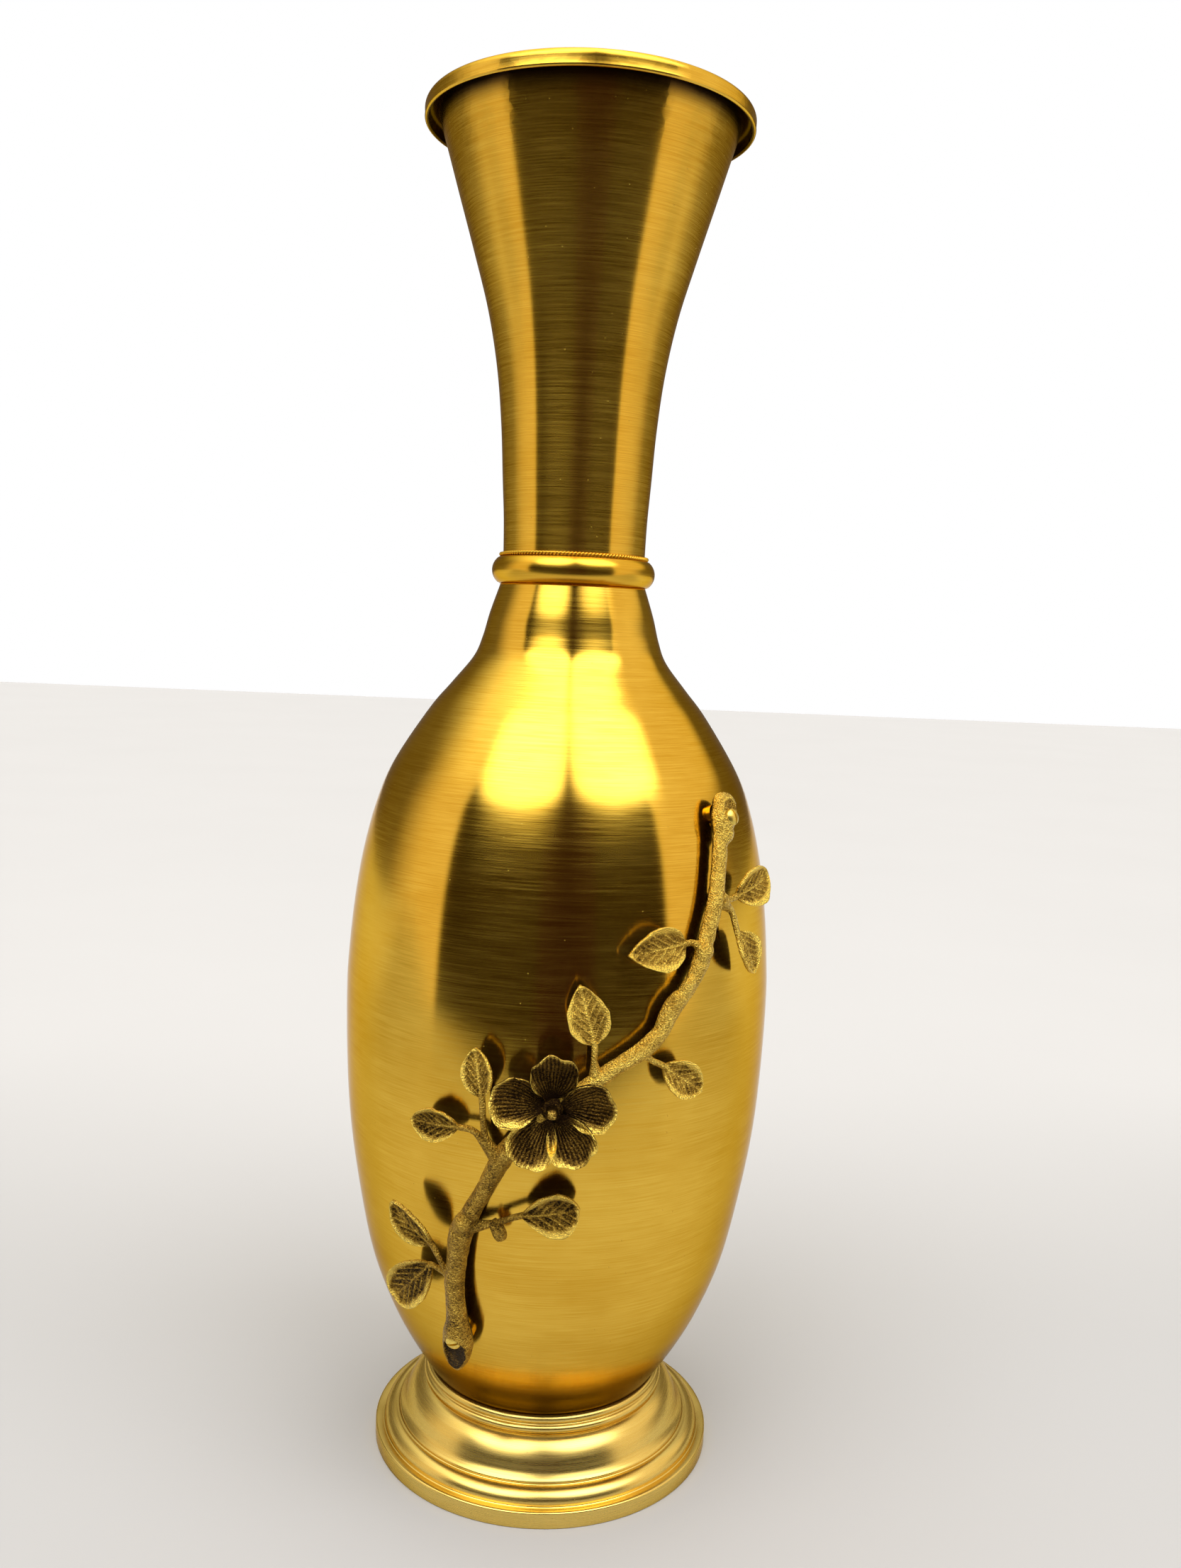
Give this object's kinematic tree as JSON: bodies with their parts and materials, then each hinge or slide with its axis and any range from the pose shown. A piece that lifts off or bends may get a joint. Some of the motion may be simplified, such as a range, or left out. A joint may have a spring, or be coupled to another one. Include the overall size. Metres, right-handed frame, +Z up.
{
  "type": "brass flower vase",
  "caption": "Tall brass vase: stepped foot, ovoid body, collar ring, trumpet neck with rolled lip, and a cast leafy branch with a flower screwed to the front.",
  "frame": {"origin": "centre of the flat underside that the vase stands on, on the axis of the body", "axes": "+Z up along the axis of the body, -Y the front where the branch is, +X to the right seen from the front"},
  "size_m": [0.1948, 0.2118, 0.6101],
  "materials": {
    "spun_brass": "satin, fine circumferential brush lines under clear lacquer",
    "foot_brass": "satin cast brass, lathe-polished rings, a few pits",
    "turned_brass": "turned and polished",
    "branch_brass": "sand-cast grain, bright high spots and brown patina in the hollows",
    "flower_brass": "sand-cast, dark brown patina with bright rims",
    "screw_brass": "machined, bright",
    "zinc_steel": "zinc plated",
    "rubber": "matte black",
    "felt": "matte felt"
  },
  "bodies": {
    "root": {"base_foot": "foot_brass", "felt_pad": "felt", "body_shell": "spun_brass", "foot_bolt": "zinc_steel", "seal_washer": "rubber", "foot_washer": "zinc_steel", "foot_nut": "zinc_steel", "collar_ring": "turned_brass", "trim_wire": "turned_brass", "neck_trumpet": "spun_brass", "upper_post": "turned_brass", "lower_post": "turned_brass", "upper_screw": "screw_brass", "lower_screw": "screw_brass", "branch_stem": "branch_brass", "leaf_1": "branch_brass", "leaf_2": "branch_brass", "leaf_3": "branch_brass", "leaf_4": "branch_brass", "leaf_5": "branch_brass", "leaf_6": "branch_brass", "leaf_7": "branch_brass", "leaf_8": "branch_brass", "leaf_9": "branch_brass", "leaf_10": "branch_brass", "bud": "branch_brass", "flower": "flower_brass", "flower_pin": "flower_brass"}
  },
  "joints": []
}
